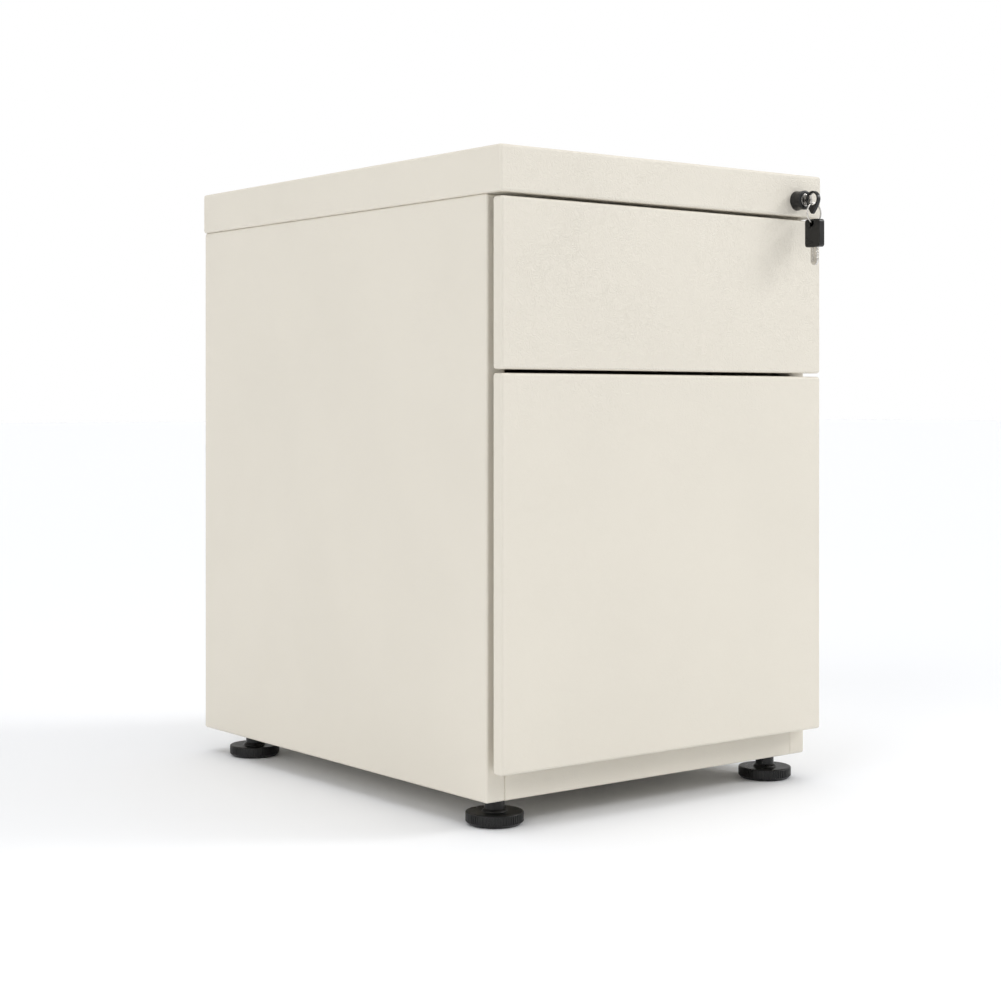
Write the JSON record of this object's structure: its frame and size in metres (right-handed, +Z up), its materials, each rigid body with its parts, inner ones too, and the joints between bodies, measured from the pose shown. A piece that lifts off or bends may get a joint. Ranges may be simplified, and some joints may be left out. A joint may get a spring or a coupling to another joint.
{
  "type": "filing cabinet",
  "caption": "Metal filing pedestal with stacked drawers on runners, a central lock bar worked by a key, folded sheet panels and levelling feet.",
  "frame": {"origin": "on the floor, under the middle of the whole object's box with its keys", "axes": "+X to the right seen from the front, +Y from the drawer fronts towards the back, +Z up"},
  "size_m": [0.37, 0.5104, 0.55],
  "materials": {
    "cream_powder_coat": "fine wrinkled powder coat, satin",
    "zinc_plated_steel": "bright zinc plate, faint brushing",
    "nickel_plate": "nickel plate, soft gloss",
    "black_plastic": "moulded, satin",
    "white_nylon": "moulded, waxy",
    "black_rubber": "matt"
  },
  "bodies": {
    "carcass": {"top_cover": "cream_powder_coat", "left_side_panel": "cream_powder_coat", "right_side_panel": "cream_powder_coat", "back_panel": "cream_powder_coat", "bottom_panel": "cream_powder_coat", "front_base_rail": "cream_powder_coat", "top_front_rail": "cream_powder_coat", "left_runner_brackets": "cream_powder_coat", "right_runner_brackets": "cream_powder_coat", "upper_left_runner": "zinc_plated_steel", "upper_right_runner": "zinc_plated_steel", "front_glide_blocks": "white_nylon", "lower_left_outer_rail": "zinc_plated_steel", "lower_right_outer_rail": "zinc_plated_steel", "lock_barrel": "black_plastic", "lock_nut": "zinc_plated_steel", "lock_bar_guides": "zinc_plated_steel", "foot_sockets": "zinc_plated_steel", "cover_screws": "zinc_plated_steel", "back_rivets": "zinc_plated_steel", "closing_buffers": "black_rubber"},
    "lock_core": {"lock_core": "nickel_plate", "lock_cam": "zinc_plated_steel"},
    "lock_bar": {"lock_bar": "zinc_plated_steel"},
    "key": {"key_blade": "nickel_plate", "key_bow": "black_plastic"},
    "split_ring": {"split_ring": "nickel_plate"},
    "spare_key": {"spare_key_blade": "nickel_plate", "spare_key_head": "black_plastic"},
    "upper_drawer": {"upper_front_skin": "cream_powder_coat", "upper_front_liner": "cream_powder_coat", "upper_drawer_tray": "cream_powder_coat", "upper_box_front": "cream_powder_coat", "upper_drawer_back": "cream_powder_coat", "upper_left_drawer_runner": "zinc_plated_steel", "upper_right_drawer_runner": "zinc_plated_steel", "rear_glide_blocks": "white_nylon", "upper_lock_stud": "zinc_plated_steel", "upper_front_screws": "zinc_plated_steel"},
    "lower_drawer": {"lower_front_skin": "cream_powder_coat", "lower_front_liner": "cream_powder_coat", "lower_drawer_tray": "cream_powder_coat", "lower_drawer_back": "cream_powder_coat", "lower_left_inner_rail": "zinc_plated_steel", "lower_right_inner_rail": "zinc_plated_steel", "lower_lock_stud": "zinc_plated_steel", "lower_front_screws": "zinc_plated_steel", "file_bars": "zinc_plated_steel"},
    "left_middle_rail": {"lower_left_middle_rail": "zinc_plated_steel"},
    "right_middle_rail": {"lower_right_middle_rail": "zinc_plated_steel"},
    "outer_ball_cages": {"outer_ball_cages": "zinc_plated_steel"},
    "inner_ball_cages": {"inner_ball_cages": "zinc_plated_steel"},
    "front_left_foot": {"front_left_foot_pad": "black_plastic", "front_left_foot_stud": "zinc_plated_steel"},
    "front_right_foot": {"front_right_foot_pad": "black_plastic", "front_right_foot_stud": "zinc_plated_steel"},
    "back_left_foot": {"back_left_foot_pad": "black_plastic", "back_left_foot_stud": "zinc_plated_steel"},
    "back_right_foot": {"back_right_foot_pad": "black_plastic", "back_right_foot_stud": "zinc_plated_steel"}
  },
  "joints": [
    {"name": "upper_drawer_slide", "type": "slide", "parent": "carcass", "child": "upper_drawer", "axis": [0, -1, 0], "range_m": [0, 0.3]},
    {"name": "lower_drawer_slide", "type": "slide", "parent": "carcass", "child": "lower_drawer", "axis": [0, -1, 0], "range_m": [0, 0.4]},
    {"name": "left_middle_rail_slide", "type": "slide", "parent": "carcass", "child": "left_middle_rail", "axis": [0, -1, 0], "range_m": [0, 0.2]},
    {"name": "right_middle_rail_slide", "type": "slide", "parent": "carcass", "child": "right_middle_rail", "axis": [0, -1, 0], "range_m": [0, 0.2]},
    {"name": "outer_ball_cage_slide", "type": "slide", "parent": "carcass", "child": "outer_ball_cages", "axis": [0, -1, 0], "range_m": [0, 0.1]},
    {"name": "inner_ball_cage_slide", "type": "slide", "parent": "carcass", "child": "inner_ball_cages", "axis": [0, -1, 0], "range_m": [0, 0.3]},
    {"name": "lock_turn", "type": "hinge", "parent": "carcass", "child": "lock_core", "pos_m": [0.153, -0.2248, 0.526], "axis": [0, 1, 0], "range_deg": [0, 90]},
    {"name": "lock_bar_lift", "type": "slide", "parent": "carcass", "child": "lock_bar", "axis": [0, 0, 1], "range_m": [0, 0.0085]},
    {"name": "key_withdraw", "type": "slide", "parent": "lock_core", "child": "key", "axis": [0, -1, 0], "range_m": [0, 0.034]},
    {"name": "split_ring_hang", "type": "hinge", "parent": "key", "child": "split_ring", "pos_m": [0.153, -0.2457, 0.5172], "axis": [0, 1, 0], "range_deg": [-90, 0]},
    {"name": "spare_key_swing", "type": "hinge", "parent": "split_ring", "child": "spare_key", "pos_m": [0.153, -0.2457, 0.5047], "axis": [1, 0, 0], "range_deg": [-60, 20]},
    {"name": "front_left_foot_level", "type": "slide", "parent": "carcass", "child": "front_left_foot", "axis": [0, 0, -1], "range_m": [0, 0.012]},
    {"name": "front_right_foot_level", "type": "slide", "parent": "carcass", "child": "front_right_foot", "axis": [0, 0, -1], "range_m": [0, 0.012]},
    {"name": "back_left_foot_level", "type": "slide", "parent": "carcass", "child": "back_left_foot", "axis": [0, 0, -1], "range_m": [0, 0.012]},
    {"name": "back_right_foot_level", "type": "slide", "parent": "carcass", "child": "back_right_foot", "axis": [0, 0, -1], "range_m": [0, 0.012]}
  ],
  "couplings": [
    {"joint": "left_middle_rail_slide", "follows": "lower_drawer_slide", "ratio": 0.5},
    {"joint": "right_middle_rail_slide", "follows": "lower_drawer_slide", "ratio": 0.5},
    {"joint": "outer_ball_cage_slide", "follows": "lower_drawer_slide", "ratio": 0.25},
    {"joint": "inner_ball_cage_slide", "follows": "lower_drawer_slide", "ratio": 0.75},
    {"joint": "lock_turn", "follows": "lock_bar_lift", "rad_per_m": 184.79},
    {"joint": "split_ring_hang", "follows": "lock_bar_lift", "rad_per_m": -184.79}
  ]
}
